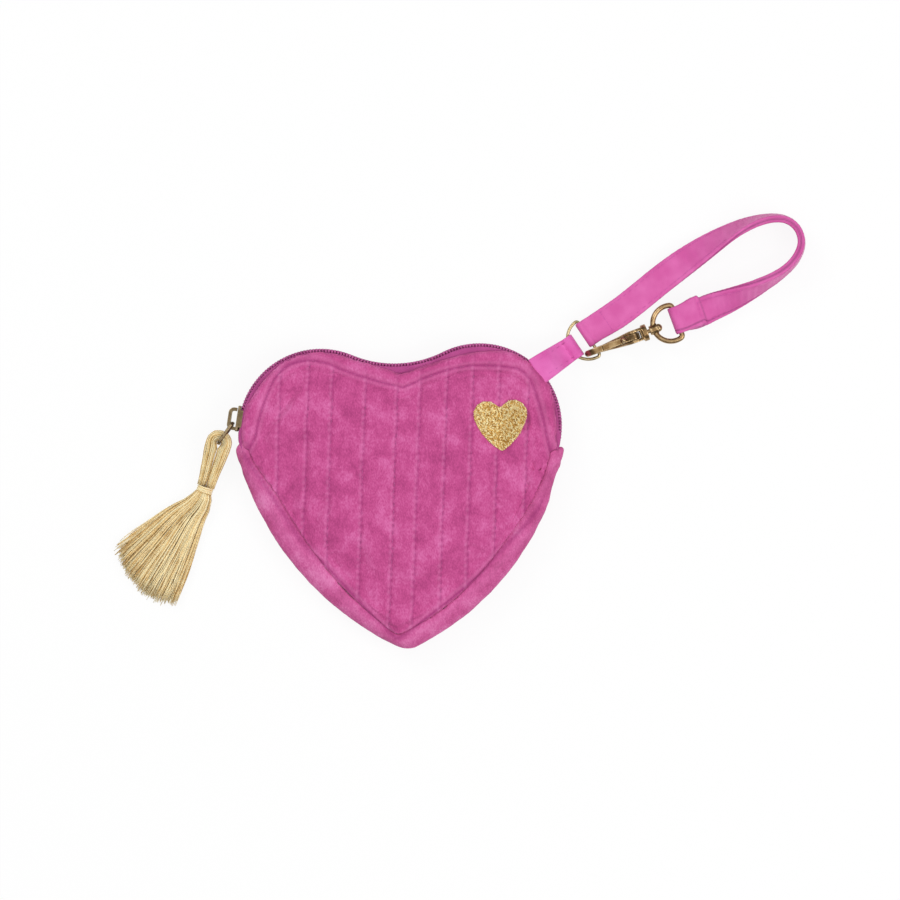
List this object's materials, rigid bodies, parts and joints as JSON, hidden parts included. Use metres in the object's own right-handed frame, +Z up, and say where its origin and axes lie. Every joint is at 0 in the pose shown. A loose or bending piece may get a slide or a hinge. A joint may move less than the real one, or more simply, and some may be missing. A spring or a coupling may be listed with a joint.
{
  "type": "heart shaped purse",
  "caption": "Quilted heart shaped purse with a curved zip, a tassel on the slider, an embroidered heart and a wrist strap clipped to a D-ring by a swivel snap hook.",
  "frame": {"origin": "on the table, under the heart, at the back panel's flat face", "axes": "+Z up from the table through the purse's thickness, +Y towards the heart's lobes, +X towards the side that holds the strap"},
  "size_m": [0.2523, 0.1614, 0.0179],
  "materials": {
    "velvet": "quilted cotton velvet with a short mottled nap",
    "wadding": "polyester wadding",
    "lining": "plain woven lining cloth",
    "zip_tape": "herringbone woven polyester tape",
    "zip_teeth": "nylon chain, dyed to match the tape",
    "antique_brass": "antique brass, dark in the recesses and rubbed bright on the edges",
    "tassel_silk": "twisted viscose yarn",
    "gold_stitch": "metallic embroidery thread, zig-zag stitch",
    "strap_tape": "velvet covered tape with a stitch line near each edge"
  },
  "bodies": {
    "purse": {"front_panel": "velvet", "front_wadding": "wadding", "front_lining": "lining", "back_panel": "velvet", "back_wadding": "wadding", "back_lining": "lining", "bottom_gusset": "velvet", "gusset_lining": "lining", "zip_tape_front": "zip_tape", "zip_tape_back": "zip_tape", "zip_teeth_front": "zip_teeth", "zip_teeth_back": "zip_teeth", "zip_top_stop": "antique_brass", "zip_bottom_stop": "antique_brass", "heart_badge": "gold_stitch", "ring_tab": "strap_tape"},
    "slider": {"zip_slider": "antique_brass", "slider_crown": "antique_brass"},
    "puller": {"zip_puller": "antique_brass"},
    "tassel": {"tassel_loop": "tassel_silk", "tassel_wrap": "tassel_silk", "tassel_skirt": "tassel_silk"},
    "d_ring": {"tab_d_ring": "antique_brass"},
    "strap": {"wrist_strap": "strap_tape"},
    "eye": {"swivel_eye": "antique_brass"},
    "hook": {"swivel_stud": "antique_brass", "hook_body": "antique_brass", "gate_pin": "antique_brass", "gate_spring": "antique_brass"},
    "gate": {"hook_gate": "antique_brass"}
  },
  "joints": [
    {"name": "slider_run", "type": "hinge", "parent": "purse", "child": "slider", "pos_m": [-0.02935, 0.02396, 0.0085], "axis": [0, 0, 1], "range_deg": [-92, 0], "deforming": ["zip_teeth_front", "zip_teeth_back"]},
    {"name": "puller_swing", "type": "hinge", "parent": "slider", "child": "puller", "pos_m": [-0.06194, 0.02687, 0.0085], "axis": [0, 0, 1], "range_deg": [-95, 3]},
    {"name": "tassel_swing", "type": "hinge", "parent": "puller", "child": "tassel", "pos_m": [-0.06701, 0.01955, 0.0085], "axis": [0, 0, 1], "range_deg": [-45, 25]},
    {"name": "ring_swing", "type": "hinge", "parent": "purse", "child": "d_ring", "pos_m": [0.06359, 0.05536, 0.0056], "axis": [0.5592, -0.829, 0], "range_deg": [0, 80]},
    {"name": "strap_swing", "type": "hinge", "parent": "d_ring", "child": "strap", "pos_m": [0.0695, 0.05935, 0.0056], "axis": [0.5592, -0.829, 0], "range_deg": [-10, 10]},
    {"name": "eye_swing", "type": "hinge", "parent": "strap", "child": "eye", "pos_m": [0.10278, 0.06493, 0.0056], "axis": [-0.3453, 0.9385, 0], "range_deg": [-2, 2]},
    {"name": "hook_swivel", "type": "hinge", "parent": "eye", "child": "hook", "pos_m": [0.09415, 0.06175, 0.0056], "axis": [-0.9385, -0.3453, 0], "range_deg": [-6, 6]},
    {"name": "gate_turn", "type": "hinge", "parent": "hook", "child": "gate", "pos_m": [0.08674, 0.05902, 0.0075], "axis": [0.3453, -0.9385, 0], "range_deg": [0, 28], "stiffness_Nm_per_rad": 0.012, "springref_deg": -28.65, "deforming": ["gate_spring"]}
  ]
}
